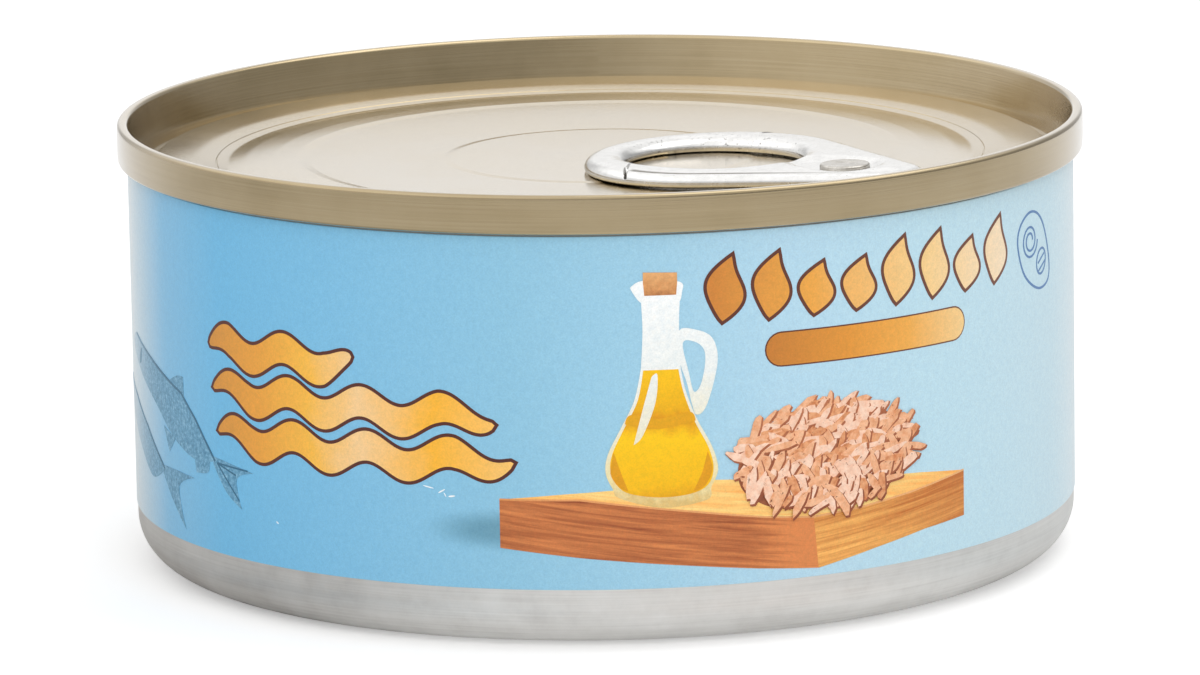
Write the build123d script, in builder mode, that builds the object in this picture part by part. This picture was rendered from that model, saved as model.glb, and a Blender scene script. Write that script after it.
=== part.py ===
"""Low round steel food can: drawn body, wrap-around label, seamed easy-open end, ring-pull tab.

Millimetres, +Z up. The origin is the centre of the base, on the surface the can stands on.
The can is shut, so the body is one solid with its contents; every piece is a solid of revolution
about Z except the tab and the rivet that holds it.
"""

import os
from math import atan2, cos, degrees, radians, sin, sqrt

from build123d import *

# Can body, outside sizes
can_height = 39.4  # base to the top of the seam
body_radius = 42.03
base_corner_radius = 4.2  # side wall into the base
base_ring_width = 1.1  # flat ring that the can stands on
base_ring_rounding = 0.5
base_recess_depth = 1.1  # base panel above the standing ring
base_recess_run = 1.7  # width of the slope between the ring and the base panel
base_step_inset = 8.0  # expansion step, in from the edge of the base panel
base_step_height = 0.4
base_step_run = 1.0

# Label, a sleeve round the side wall
label_thickness = 0.10
label_bottom = 5.3
label_top_gap = 0.25  # bare wall left under the seam

# Double seam
seam_overhang = 0.97  # seam out past the side wall
seam_length = 3.4
seam_thickness = 0.95
seam_top_rounding = 0.40
seam_foot_rounding = 0.30

# Easy-open end: depths are measured down from the top of the seam, and widths inwards from its chuck wall
sheet = 0.25
chuck_wall_taper = 0.65  # how far the wall leans in over its depth
countersink_depth = 4.6
countersink_width = 0.9
countersink_rounding = 0.30
shoulder_run = 0.9  # width of the panel's outer side, down to the countersink
shoulder_depth = 3.42
shoulder_rounding = 0.7
land_width = 3.6  # nearly level part inside the shoulder
land_inner_depth = 3.56
land_rounding = 4.0
slope_width = 2.8
slope_foot_depth = 4.02
slope_foot_rounding = 1.0
score_inset = 1.0  # line that the lid tears along, out from the foot of the slope
score_width = 0.3
score_depth = 0.06

# Broad low bead round the panel, steeper the nearer it comes to the foot of the slope
bead_flank_width = 1.6
bead_flank_depth = 3.80
bead_shoulder_width = 2.6
bead_shoulder_depth = 3.68
bead_crown_width = 2.1
bead_crown_depth = 3.66
bead_inner_run = 0.8
bead_rounding = 1.0

# Panel inside the bead, drawn down in the middle by the shut can's vacuum
dish_depth = 3.77
dish_sag = 0.47
inner_bead_radius = 14.0
inner_bead_rise = 0.07
inner_bead_run = 0.7

# Ring-pull tab
tab_heading = -36.4  # direction of the nose about Z, degrees
tab_tilt = 1.1  # nose up, degrees
tab_length = 32.7
tab_thickness = 1.3
tab_seat_gap = 0.02  # tab above the crown of the panel's bead, at the rivet
nose_to_score = 0.2  # tip of the nose, in from the score line
nose_radius = 4.0
ring_half_length = 11.6
ring_half_width = 12.2
ring_end_band = 3.3  # metal between the finger hole and the far end of the ring
ring_side_band = 4.8
hole_length = 15.8
curl_rounding = 0.62
hole_rounding = 0.50
crease_inset = 1.9  # crease between the curled edge and the flat of the tab
crease_width = 0.35
crease_depth = 0.15
slit_width = 0.25  # two short slits where the curled edge of the ring starts
slit_depth = 0.8
web_recess_depth = 0.45
web_recess_radius = 3.0

# Rivet, raised out of the panel and staked over the tab
rivet_to_tip = 7.5
rivet_stem_radius = 1.4
rivet_head_radius = 2.2
rivet_head_height = 0.4
rivet_head_rounding = 0.25
rivet_clearance = 0.05

# Radii of the end, from the seam inwards
seam_radius = body_radius + seam_overhang
seam_inner_radius = seam_radius - seam_thickness
seam_foot = can_height - seam_length
wall_foot_radius = seam_inner_radius - chuck_wall_taper
groove_inner_radius = wall_foot_radius - countersink_width
shoulder_radius = groove_inner_radius - shoulder_run
land_inner_radius = shoulder_radius - land_width
slope_foot_radius = land_inner_radius - slope_width
score_radius = slope_foot_radius + score_inset
bead_flank_radius = slope_foot_radius - bead_flank_width
bead_shoulder_radius = bead_flank_radius - bead_shoulder_width
bead_crown_radius = bead_shoulder_radius - bead_crown_width
dish_radius = bead_crown_radius - bead_inner_run

# Distances along the tab from the can's axis
nose_tip = score_radius - nose_to_score
nose_centre = nose_tip - nose_radius
ring_end = nose_tip - tab_length
ring_centre = ring_end + ring_half_length
hole_centre = ring_end + ring_end_band + hole_length / 2
rivet_distance = nose_tip - rivet_to_tip

os.makedirs("parts", exist_ok=True)


def below_rim(depth):
    """Height of a level given as a depth under the top of the seam."""
    return can_height - depth


def dish_height(radius):
    """Height of the plain dished panel at a radius."""
    return below_rim(dish_depth + dish_sag * (1 - (radius / dish_radius) ** 2))


# Upper side of the end from the middle of the panel to the chuck wall, and the rounding of each corner
panel_points = [
    (0, dish_height(0) + inner_bead_rise),
    (inner_bead_radius - inner_bead_run, dish_height(inner_bead_radius - inner_bead_run) + inner_bead_rise),
    (inner_bead_radius, dish_height(inner_bead_radius)),
    (dish_radius, below_rim(dish_depth)),
    (bead_crown_radius, below_rim(bead_crown_depth)),
    (bead_shoulder_radius, below_rim(bead_shoulder_depth)),
    (bead_flank_radius, below_rim(bead_flank_depth)),
    (slope_foot_radius, below_rim(slope_foot_depth)),
    (land_inner_radius, below_rim(land_inner_depth)),
    (shoulder_radius, below_rim(shoulder_depth)),
]
panel_rounding = [bead_rounding] * 6 + [slope_foot_rounding, land_rounding, shoulder_rounding]
upper_points = panel_points + [
    (groove_inner_radius, below_rim(countersink_depth)),
    (wall_foot_radius, below_rim(countersink_depth)),
    (seam_inner_radius, can_height),
]
upper_rounding = panel_rounding + [countersink_rounding] * 2

# Under side: one sheet thickness below the panel, and one outside the chuck wall
wall_outside_radius = wall_foot_radius + sheet
wall_lean = chuck_wall_taper / countersink_depth
under_points = [(r, z - sheet) for r, z in panel_points] + [
    (groove_inner_radius - sheet, below_rim(countersink_depth) - sheet),
    (wall_outside_radius, below_rim(countersink_depth) - sheet),
    (wall_outside_radius + wall_lean * (countersink_depth + sheet - seam_length), seam_foot),
]

# Base of the body, from its middle to the start of the corner
ring_outer_radius = body_radius - base_corner_radius
ring_inner_radius = ring_outer_radius - base_ring_width
recess_radius = ring_inner_radius - base_recess_run
base_step_radius = recess_radius - base_step_inset
base_points = [
    (0, base_recess_depth + base_step_height),
    (base_step_radius - base_step_run, base_recess_depth + base_step_height),
    (base_step_radius, base_recess_depth),
    (recess_radius, base_recess_depth),
    (ring_inner_radius, 0),
    (ring_outer_radius, 0),
]
base_rounding = [bead_rounding] * 2 + [base_ring_rounding] * 2

with BuildPart() as can_body:
    with BuildSketch(Plane.XZ):
        with BuildLine():
            base = FilletPolyline(*base_points, radius=base_rounding)
            corner = RadiusArc(base @ 1, (body_radius, base_corner_radius), -base_corner_radius)
            side = Line(corner @ 1, (body_radius, seam_foot))
            shoulder = Line(side @ 1, under_points[-1])
            top = FilletPolyline(*under_points, radius=upper_rounding)
            Line(top @ 0, base @ 0)
        make_face()
    revolve(axis=Axis.Z)
can_body.part.label = "can_body"

with BuildPart() as label:
    with BuildSketch(Plane.XY.offset(label_bottom)):
        Circle(body_radius + label_thickness)
        Circle(body_radius, mode=Mode.SUBTRACT)
    extrude(amount=seam_foot - label_top_gap - label_bottom)
label.part.label = "label"

# The tab's own plane: origin on the can's axis line through the rivet, x along the tab, z its thickness
heading = Vector(cos(radians(tab_heading)), sin(radians(tab_heading)), 0)
rivet_foot = heading * rivet_distance + Vector(0, 0, below_rim(bead_crown_depth) + tab_seat_gap)
tab_along = heading * cos(radians(tab_tilt)) + Vector(0, 0, sin(radians(tab_tilt)))
tab_up = heading * -sin(radians(tab_tilt)) + Vector(0, 0, cos(radians(tab_tilt)))
tab_under = Plane(origin=rivet_foot - tab_along * rivet_distance, x_dir=tab_along, z_dir=tab_up)
tab_top = tab_under.offset(tab_thickness)
web_floor = tab_under.offset(tab_thickness - web_recess_depth)


def side_angle():
    """Direction, from the tab's axis, that the straight side between the ring's oval and the nose faces."""
    low, high = radians(20), radians(160)
    for _ in range(60):
        angle = (low + high) / 2
        if ring_centre * cos(angle) + oval_reach(angle) > nose_centre * cos(angle) + nose_radius:
            high = angle
        else:
            low = angle
    return (low + high) / 2


def oval_reach(angle):
    """Distance from the centre of the ring's oval to its tangent line that faces an angle."""
    return sqrt((ring_half_length * cos(angle)) ** 2 + (ring_half_width * sin(angle)) ** 2)


def side_ends(inset):
    """Ends of the straight side on the left of the tab, moved inwards: at the ring and at the nose."""
    angle = side_angle()
    reach = oval_reach(angle)
    inward = Vector(cos(angle), sin(angle)) * inset
    touch = Vector(ring_half_length**2 * cos(angle), ring_half_width**2 * sin(angle)) / reach
    at_ring = Vector(ring_centre, 0) + touch
    at_nose = Vector(nose_centre + nose_radius * cos(angle), nose_radius * sin(angle))
    return at_ring - inward, at_nose - inward


def mirrored(point):
    """The same point on the other side of the tab's axis."""
    return Vector(point.X, -point.Y)


def nose_line(inset):
    """Open line down one side of the tab, round its nose and back up the other side."""
    at_ring, at_nose = side_ends(inset)
    with BuildLine() as line:
        Line(mirrored(at_ring), mirrored(at_nose))
        ThreePointArc(mirrored(at_nose), (nose_tip - inset, 0), at_nose)
        Line(at_nose, at_ring)
    return line.edges()


def tab_outline():
    """Closed outline of the tab: oval ring, two straight sides, round nose."""
    at_ring, _ = side_ends(0)
    turn = degrees(atan2(at_ring.Y / ring_half_width, (at_ring.X - ring_centre) / ring_half_length))
    with BuildLine() as oval:
        middle_of_ring = (ring_centre, 0)
        EllipticalCenterArc(middle_of_ring, ring_half_length, ring_half_width, turn, arc_size=360 - 2 * turn)
    return oval.edges() + nose_line(0)


def score_level():
    """Height of the panel's slope at the score line."""
    along = score_inset / slope_width
    return below_rim(slope_foot_depth + along * (land_inner_depth - slope_foot_depth))


with BuildPart() as easy_open_end:
    # Sheet of the end, with the folded seam as one ring of metal at its edge
    with BuildSketch(Plane.XZ) as section:
        with BuildLine():
            upper = FilletPolyline(*upper_points, radius=upper_rounding)
            seam = Polyline(upper @ 1, (seam_radius, can_height), (seam_radius, seam_foot), under_points[-1])
            under = FilletPolyline(*under_points, radius=upper_rounding)
            Line(under @ 0, upper @ 0)
        make_face()
        fillet(section.vertices().group_by(Axis.Y)[-1], seam_top_rounding)
        fillet(section.vertices().group_by(Axis.X)[-1].sort_by(Axis.Y)[0], seam_foot_rounding)
    revolve(axis=Axis.Z)
    # Score line
    with BuildSketch(Plane.XZ):
        with BuildLine():
            half = score_width / 2
            Polyline(
                (score_radius - half, score_level() + half),
                (score_radius, score_level() - score_depth),
                (score_radius + half, score_level() + half),
                close=True,
            )
        make_face()
    revolve(axis=Axis.Z, mode=Mode.SUBTRACT)
    # Rivet: stem out of the panel and staked head
    with BuildSketch(tab_under.offset(-tab_seat_gap - sheet)):
        with Locations((rivet_distance, 0)):
            Circle(rivet_stem_radius)
    extrude(amount=tab_seat_gap + sheet + tab_thickness - web_recess_depth)
    with BuildSketch(web_floor):
        with Locations((rivet_distance, 0)):
            Circle(rivet_head_radius)
    extrude(amount=rivet_head_height)
    fillet(easy_open_end.edges(Select.LAST).group_by(Axis.Z)[-1], rivet_head_rounding)
easy_open_end.part.label = "easy_open_end"

with BuildPart() as pull_tab:
    with BuildSketch(tab_under):
        make_face(tab_outline())
    extrude(amount=tab_thickness)
    fillet(pull_tab.edges().filter_by(lambda edge: edge.length > tab_thickness / 2), curl_rounding)
    # Finger hole with rounded edges
    with BuildSketch(tab_top):
        with Locations((hole_centre, 0)):
            Ellipse(hole_length / 2, ring_half_width - ring_side_band)
    extrude(amount=-tab_thickness, mode=Mode.SUBTRACT)
    fillet(pull_tab.edges().filter_by(GeomType.ELLIPSE), hole_rounding)
    # Crease inside the curled edge, down both sides and round the nose, and the curl's two slits
    with BuildSketch(tab_top):
        with BuildLine():
            add(nose_line(crease_inset))
        trace(line_width=crease_width)
    extrude(amount=-crease_depth, mode=Mode.SUBTRACT)
    with BuildSketch(tab_top):
        with Locations((ring_centre, ring_half_width), (ring_centre, -ring_half_width)):
            Rectangle(slit_width, 2 * (crease_inset + crease_width))
    extrude(amount=-slit_depth, mode=Mode.SUBTRACT)
    # Recess of the web round the rivet, and the rivet's hole
    with BuildSketch(tab_top):
        with Locations((rivet_distance, 0)):
            Circle(web_recess_radius)
    extrude(amount=-web_recess_depth, mode=Mode.SUBTRACT)
    with BuildSketch(tab_top):
        with Locations((rivet_distance, 0)):
            Circle(rivet_stem_radius + rivet_clearance)
    extrude(amount=-tab_thickness, mode=Mode.SUBTRACT)
pull_tab.part.label = "pull_tab"

for piece in (can_body, label, easy_open_end, pull_tab):
    export_step(piece.part, f"parts/{piece.part.label}.step")
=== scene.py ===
"""Low round food can on a pale studio floor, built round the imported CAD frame. Lengths are in metres."""

import random
from math import copysign, cos, floor, hypot, pi, radians, sin, tan

import bmesh
import bpy
import numpy as np
from mathutils import Matrix, Vector


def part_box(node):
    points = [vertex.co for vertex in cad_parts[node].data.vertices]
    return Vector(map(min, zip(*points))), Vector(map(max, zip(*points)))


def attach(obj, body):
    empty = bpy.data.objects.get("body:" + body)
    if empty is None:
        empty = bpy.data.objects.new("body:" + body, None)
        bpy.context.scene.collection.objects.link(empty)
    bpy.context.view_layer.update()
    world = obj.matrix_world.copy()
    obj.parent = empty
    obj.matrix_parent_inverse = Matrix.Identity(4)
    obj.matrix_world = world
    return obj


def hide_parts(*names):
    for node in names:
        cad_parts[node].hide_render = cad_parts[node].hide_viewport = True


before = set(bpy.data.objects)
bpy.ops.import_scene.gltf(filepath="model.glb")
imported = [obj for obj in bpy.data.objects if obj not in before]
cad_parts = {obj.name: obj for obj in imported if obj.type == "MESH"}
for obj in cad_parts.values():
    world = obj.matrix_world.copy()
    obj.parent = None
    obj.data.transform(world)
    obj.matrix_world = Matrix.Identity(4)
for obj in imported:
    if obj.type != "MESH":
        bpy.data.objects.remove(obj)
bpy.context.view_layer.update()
scene = bpy.context.scene

MM = 0.001
SEGMENTS = 360
LABEL_HALF_LENGTH = 132.4  # half way round the label, mm

# Millimetres, as the part was drawn
SEAM_LENGTH = 3.4
BASE_CORNER = 4.2
DISH_RADIUS = 26.0
CROWN_DEPTH = 3.66
SLOPE_FOOT_RADIUS, SLOPE_FOOT_DEPTH = 33.2, 4.02
LAND_RADIUS, LAND_DEPTH = 36.0, 3.56
SCORE_RADIUS, SCORE_DEPTH = 34.2, 0.05
GROOVE_OUTER, GROOVE_INNER, GROOVE_DEPTH = 41.4, 40.5, 4.6
SHEET = 0.25
TAB_HEADING = radians(-36.4)
TAB_TILT = radians(1.1)
TAB_THICKNESS = 1.3
RIVET_ALONG = 26.5
RING_CENTRE, RING_LENGTH, RING_WIDTH = 12.9, 11.6, 12.2
HOLE_CENTRE, HOLE_LENGTH, HOLE_WIDTH = 12.5, 7.9, 7.4
NOSE_CENTRE, NOSE_RADIUS = 30.0, 4.0
BEAD_WIDTH = 1.5
BEAD_HEIGHT = 0.52
WEB_LEVEL = 0.62
WEB_FALL, FALL_WIDTH = 0.3, 3.5
RIM_DROP = 0.25
SLIT_PLACE, SLIT_SLANT = 11.6, 0.74
WEB_RECESS = 3.0
TAB_RAYS = 720
FLAKES = 230

# Studio levels
ROOM_LEFT, ROOM_RIGHT = 0.64, 0.52  # brightness of the room, except behind the can, where it is white
GLOSS_LEFT, GLOSS_RIGHT = 0.9, 0.4  # the same as reflections see it
CEILING, GLOSS_CEILING = 0.2, 0.55  # added overhead
SIDE_DIM = 0.5  # how much dimmer the white is to either side than straight behind
FLOOR_LIFT = 0.34  # added to the floor's own brightness where it is seen

# Sizes taken from the frame
_, body_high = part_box("can_body")
_, end_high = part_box("easy_open_end")
label_low, label_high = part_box("label")
HEIGHT = end_high.z
SEAM_RADIUS = round(end_high.x / MM, 2) * MM
BODY_RADIUS = round(body_high.x / MM, 2) * MM
LABEL_RADIUS = round(label_high.x / MM, 2) * MM


# ------ outlines

def arc_corner(before, corner, after, radius, steps):
    """Points of an arc that rounds one corner of a polyline."""
    a, b, c = (Vector(p) for p in (before, corner, after))
    to_a, to_c = (a - b).normalized(), (c - b).normalized()
    half = to_a.angle(to_c) / 2
    reach = min(radius / tan(half), 0.49 * (a - b).length, 0.49 * (c - b).length)
    radius = reach * tan(half)
    centre = b + (to_a + to_c).normalized() * (radius / sin(half))
    start, end = b + to_a * reach - centre, b + to_c * reach - centre
    sweep = start.angle_signed(end)
    turned = (Matrix.Rotation(-sweep * i / steps, 2) @ start for i in range(steps + 1))
    return [centre + p for p in turned]


def rounded(points, radii, steps=6):
    """The polyline with each inner corner rounded by its own radius."""
    out = [Vector(points[0])]
    for i, radius in enumerate(radii, start=1):
        out += arc_corner(points[i - 1], points[i], points[i + 1], radius, steps)
    out.append(Vector(points[-1]))
    return out


# ------ meshes

def linked(name, data):
    """New object in the scene."""
    piece = bpy.data.objects.new(name, data)
    scene.collection.objects.link(piece)
    return piece


def new_object(name, bm, material, smooth_angle=35):
    """Turns a bmesh into a shown piece that rides on the can."""
    mesh = bpy.data.meshes.new(name)
    bmesh.ops.recalc_face_normals(bm, faces=bm.faces)
    if bm.calc_volume(signed=True) < 0:
        bmesh.ops.reverse_faces(bm, faces=bm.faces)
    bm.to_mesh(mesh)
    bm.free()
    mesh.shade_smooth()
    mesh.set_sharp_from_angle(angle=radians(smooth_angle))
    piece = linked(name, mesh)
    mesh.materials.append(material)
    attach(piece, "root")
    return piece


def revolved(profile, segments=SEGMENTS, unit=MM):
    """Closed solid of revolution about Z. Its profile of (radius, height) ends on the axis or is a loop."""
    bm = bmesh.new()
    rings = []
    for radius, height in (point * unit for point in profile):
        if radius < 1e-7:
            rings.append([bm.verts.new((0, 0, height))])
            continue
        turns = (2 * pi * k / segments for k in range(segments))
        rings.append([bm.verts.new((radius * cos(turn), radius * sin(turn), height)) for turn in turns])
    pairs = list(zip(rings, rings[1:]))
    if len(rings[0]) > 1 and len(rings[-1]) > 1:
        pairs.append((rings[-1], rings[0]))
    for lower, upper in pairs:
        for k in range(segments):
            j = (k + 1) % segments
            corners = [ring[turn % len(ring)]
                       for ring, turn in ((lower, k), (lower, j), (upper, j), (upper, k))]
            bm.faces.new(list(dict.fromkeys(corners)))
    return bm


# ------ shader helpers

def srgb(red, green, blue):
    """Linear colour, with alpha, from display values of 0 to 255."""
    def linear(value):
        value /= 255
        return value / 12.92 if value <= 0.04045 else ((value + 0.055) / 1.055) ** 2.4
    return (linear(red), linear(green), linear(blue), 1.0)


class Nodes:
    """Adds and links the nodes of one node tree."""

    def __init__(self, tree):
        self.nodes = tree.nodes
        self.links = tree.links

    def add(self, kind, **attributes):
        node = self.nodes.new("ShaderNode" + kind)
        for name, value in attributes.items():
            setattr(node, name, value)
        return node

    def feed(self, socket, source):
        """Links a source to a socket, or sets the socket when the source is a plain value."""
        if isinstance(source, bpy.types.NodeSocket):
            self.links.new(source, socket)
        else:
            socket.default_value = source

    def math(self, operation, first, second=0.0):
        node = self.add("Math", operation=operation)
        self.feed(node.inputs[0], first)
        self.feed(node.inputs[1], second)
        return node.outputs[0]

    def plus(self, first, second):
        return self.math("ADD", first, second)

    def minus(self, first, second):
        return self.math("SUBTRACT", first, second)

    def times(self, first, second):
        return self.math("MULTIPLY", first, second)

    def over(self, first, second):
        return self.math("DIVIDE", first, second)

    def length(self, x, y):
        return self.math("SQRT", self.plus(self.times(x, x), self.times(y, y)))

    def mix(self, share, first, second):
        """Weighted mean of two values, the second weighted by the share."""
        return self.plus(self.times(first, self.minus(1.0, share)), self.times(second, share))

    def axes(self, vector):
        node = self.add("SeparateXYZ")
        self.feed(node.inputs[0], vector)
        return node.outputs

    def vector(self, x, y, z):
        node = self.add("CombineXYZ")
        for socket, source in zip(node.inputs, (x, y, z)):
            self.feed(socket, source)
        return node.outputs[0]

    def fade(self, value, low, high, out_low=0.0, out_high=1.0, kind="SMOOTHSTEP"):
        """Step of a value between two limits, smooth unless another kind is given."""
        node = self.add("MapRange", interpolation_type=kind)
        for socket, source in zip(node.inputs, (value, low, high, out_low, out_high)):
            self.feed(socket, source)
        return node.outputs[0]


class Shader(Nodes):
    """The nodes of one material."""

    def __init__(self, name, **settings):
        self.material = bpy.data.materials.new(name)
        self.material.use_nodes = True
        super().__init__(self.material.node_tree)
        self.surface = self.nodes["Principled BSDF"]
        self.finish(**settings)
        scaled = self.add("VectorMath", operation="SCALE")  # coordinates in millimetres
        self.feed(scaled.inputs[0], self.add("TexCoord").outputs["Object"])
        scaled.inputs["Scale"].default_value = 1 / MM
        self.position = scaled.outputs[0]

    def around(self):
        """Turn about Z (0 towards -Y, positive towards +X), radius and height of a point."""
        x, y, z = self.axes(self.position)
        turn = self.math("ARCTAN2", x, self.times(y, -1.0))
        return turn, self.length(x, y), z

    def on_label(self):
        """Millimetres round the label from the middle of its front, and height."""
        turn, _, height = self.around()
        return self.times(turn, LABEL_RADIUS / MM), height

    def turned(self, x, y, angle):
        """How far a point lies in a direction, given as an angle from +X."""
        return self.plus(self.times(x, cos(angle)), self.times(y, sin(angle)))

    def noise(self, vector, scale, detail=2.0, roughness=0.5, distortion=0.0):
        node = self.add("TexNoise")
        for socket, source in (("Vector", vector), ("Scale", scale), ("Detail", detail),
                               ("Roughness", roughness), ("Distortion", distortion)):
            self.feed(node.inputs[socket], source)
        return node.outputs["Fac"]

    def ramp(self, value, stops):
        node = self.add("ValToRGB")
        elements = node.color_ramp.elements
        while len(elements) < len(stops):
            elements.new(1.0)
        for element, (place, colour) in zip(elements, stops):
            element.position = place
            element.color = colour if len(colour) == 4 else (*colour, 1.0)
        self.feed(node.inputs[0], value)
        return node.outputs[0]

    def blend(self, factor, first, second, mode="MIX"):
        node = self.add("Mix", data_type="RGBA", blend_type=mode)
        self.feed(node.inputs[0], factor)
        self.feed(node.inputs[6], first)
        self.feed(node.inputs[7], second)
        return node.outputs[2]

    def bump(self, height, distance, strength=1.0, after=None):
        node = self.add("Bump")
        for socket, source in (("Height", height), ("Distance", distance), ("Strength", strength)):
            self.feed(node.inputs[socket], source)
        if after is not None:
            self.links.new(after, node.inputs["Normal"])
        return node.outputs[0]

    def finish(self, **sources):
        """Sets or links the surface's sockets and returns the material."""
        for socket, source in sources.items():
            self.feed(self.surface.inputs[socket.replace("_", " ")], source)
        return self.material


# ------ metal

def steel_finish():
    """Plain tinplate of the body: satin, with faint rings of rolling and rubbed patches, and a painted
    shadow just under the seam.
    """
    tree = Shader("tinplate", Metallic=1.0)
    turn, radius, height = tree.around()
    rings = tree.noise(tree.vector(tree.times(turn, 3.0), radius, tree.times(height, 5.0)), 1.0, 4)
    rubbed = tree.noise(tree.position, 0.25, 5, 0.65)
    fine = tree.noise(tree.position, 9.0, 2)
    colour = tree.ramp(tree.mix(0.6, rings, rubbed), [
        (0.30, srgb(200, 198, 195)), (0.5, srgb(216, 215, 212)), (0.7, srgb(227, 226, 224))])
    # Painted shade: the steel just under the seam is darkened as if it lay in the seam's shadow.
    painted_seam_shadow = tree.fade(height, 35.5, 35.85, 0.0, 0.85)
    colour = tree.blend(painted_seam_shadow, colour, srgb(84, 80, 74))
    rough = tree.fade(rubbed, 0.3, 0.7, 0.30, 0.42)
    relief = tree.bump(fine, 0.004 * MM, 0.5, tree.bump(rings, 0.02 * MM, 0.4))
    return tree.finish(Base_Color=colour, Roughness=rough, Normal=relief)


def end_finish():
    """Khaki-gold lacquer on the steel end: satin, streaked round the seam, frosty on the panel, with painted
    shade on the seam's outer face.
    """
    tree = Shader("gold_lacquer", Metallic=1.0, Coat_Weight=1.0, Coat_Roughness=0.15, Coat_IOR=1.55)
    turn, radius, height = tree.around()
    streaks = tree.noise(tree.vector(tree.times(turn, 2.0), radius, tree.times(height, 9.0)), 1.0, 4)
    blotches = tree.noise(tree.position, 0.12, 4, 0.6)
    fine = tree.noise(tree.position, 14.0, 2)
    frost = tree.noise(tree.position, 2.2, 3, 0.7)
    on_seam = tree.fade(radius, 40.2, 41.0)
    streaks = tree.mix(on_seam, frost, streaks)
    tone = tree.mix(0.5, streaks, blotches)
    colour = tree.ramp(tone, [
        (0.3, srgb(170, 150, 109)), (0.5, srgb(186, 166, 127)), (0.7, srgb(197, 179, 142))])
    # Painted shade: the seam's outer face is darkened to stand for the dimmer room that it reflects; the
    # lacquer is the same there.
    painted_seam_face_shade = tree.fade(radius, 41.9, 42.8, 0.0, 0.22)
    colour = tree.blend(painted_seam_face_shade, colour, srgb(96, 84, 62))
    rough = tree.fade(blotches, 0.3, 0.7, 0.17, 0.24)
    relief = tree.bump(streaks, 0.02 * MM, 0.3, tree.bump(fine, 0.003 * MM, 0.4))
    return tree.finish(Base_Color=colour, Roughness=rough, Normal=relief)


def tab_side():
    """Bare metal of the tab: bright, lightly drawn, with dark wear specks and painted shade along the crease
    by its near bead.
    """
    facing = np.linspace(0.35, 2.8, 20001)
    ring = RING_CENTRE * np.cos(facing) + np.hypot(RING_LENGTH * np.cos(facing), RING_WIDTH * np.sin(facing))
    nose = NOSE_CENTRE * np.cos(facing) + NOSE_RADIUS
    place = np.argmin(abs(ring - nose))
    return float(facing[place]), float(nose[place])


def tab_finish(name, dark, light):
    """Bare metal of the tab: bright, lightly drawn, with dark wear specks and a crease by its near bead."""
    tree = Shader(name, Metallic=1.0)
    drawn = tree.noise(tree.position, 1.1, 5, 0.7)
    specks = tree.noise(tree.position, 3.2, 4, 0.7)
    colour = tree.ramp(drawn, [(0.3, srgb(*dark)), (0.6, srgb(*light))])
    x, y, _ = tree.axes(tree.position)
    worn = tree.plus(specks, tree.fade(y, -6.0, -2.0, 0.0, 0.06))  # more of them on the far side
    colour = tree.blend(tree.fade(worn, 0.66, 0.72, 0.0, 0.8), colour, srgb(84, 80, 74))
    # Painted shade along the crease, which follows the ring's oval, then the tab's straight side
    along = tree.turned(x, y, TAB_HEADING)
    across = tree.turned(x, y, TAB_HEADING - pi / 2)
    oval_x = tree.over(tree.minus(along, RING_CENTRE), RING_LENGTH)
    oval_y = tree.over(across, RING_WIDTH)
    from_oval = tree.times(tree.minus(1.0, tree.length(oval_x, oval_y)), RING_WIDTH)
    facing, reach = tab_side()
    from_side = tree.minus(reach, tree.turned(x, y, TAB_HEADING - facing))
    inward = tree.mix(tree.fade(along, 15.5, 18.0), from_oval, from_side)
    off_line = tree.math("ABSOLUTE", tree.minus(inward, BEAD_WIDTH + 0.3))
    painted_crease_shade = tree.times(tree.fade(off_line, 0.1, 0.45, 1.0, 0.0),
                        tree.fade(along, SLIT_PLACE - 1.2, SLIT_PLACE - 0.4, 0.0, 0.9))
    painted_crease_shade = tree.times(painted_crease_shade, tree.fade(along, 20.0, 30.0, 1.0, 0.1))
    painted_crease_shade = tree.times(painted_crease_shade, tree.math("GREATER_THAN", across, 0.0))
    colour = tree.blend(painted_crease_shade, colour, srgb(92, 84, 72))
    rough = tree.fade(drawn, 0.3, 0.7, 0.20, 0.28)
    return tree.finish(Base_Color=colour, Roughness=rough, Normal=tree.bump(drawn, 0.02 * MM, 0.35))


# ------ print

def label_blue_and_glare(tree):
    """The label's blue, deepest left of the front, paling to the right and to the back: partly print and
    partly painted light, with painted glare towards both sides.
    """
    across, height = tree.on_label()
    place = tree.fade(across, -LABEL_HALF_LENGTH, LABEL_HALF_LENGTH, kind="LINEAR")
    # Painted highlights: the palest stops, about 60 to 80 mm round to either side of the front, are glare
    # painted into the blue; the paling to the right is partly print, partly painted light.
    stops = [
        (-132, (190, 221, 236)), (-100, (204, 228, 238)), (-74, (226, 238, 243)), (-60, (232, 241, 245)),
        (-54, (192, 218, 234)), (-48, (136, 196, 232)), (-38, (115, 191, 233)), (-24, (128, 193, 229)),
        (-8, (143, 197, 224)), (4, (160, 206, 229)), (16, (180, 216, 235)), (30, (190, 223, 237)),
        (50, (202, 228, 239)), (60, (224, 238, 244)), (80, (214, 233, 242)), (132, (190, 221, 236))]
    end = stops[-1][0]
    colour = tree.ramp(place, [((u + end) / (2 * end), srgb(*value)) for u, value in stops])
    return colour, across, height


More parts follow.
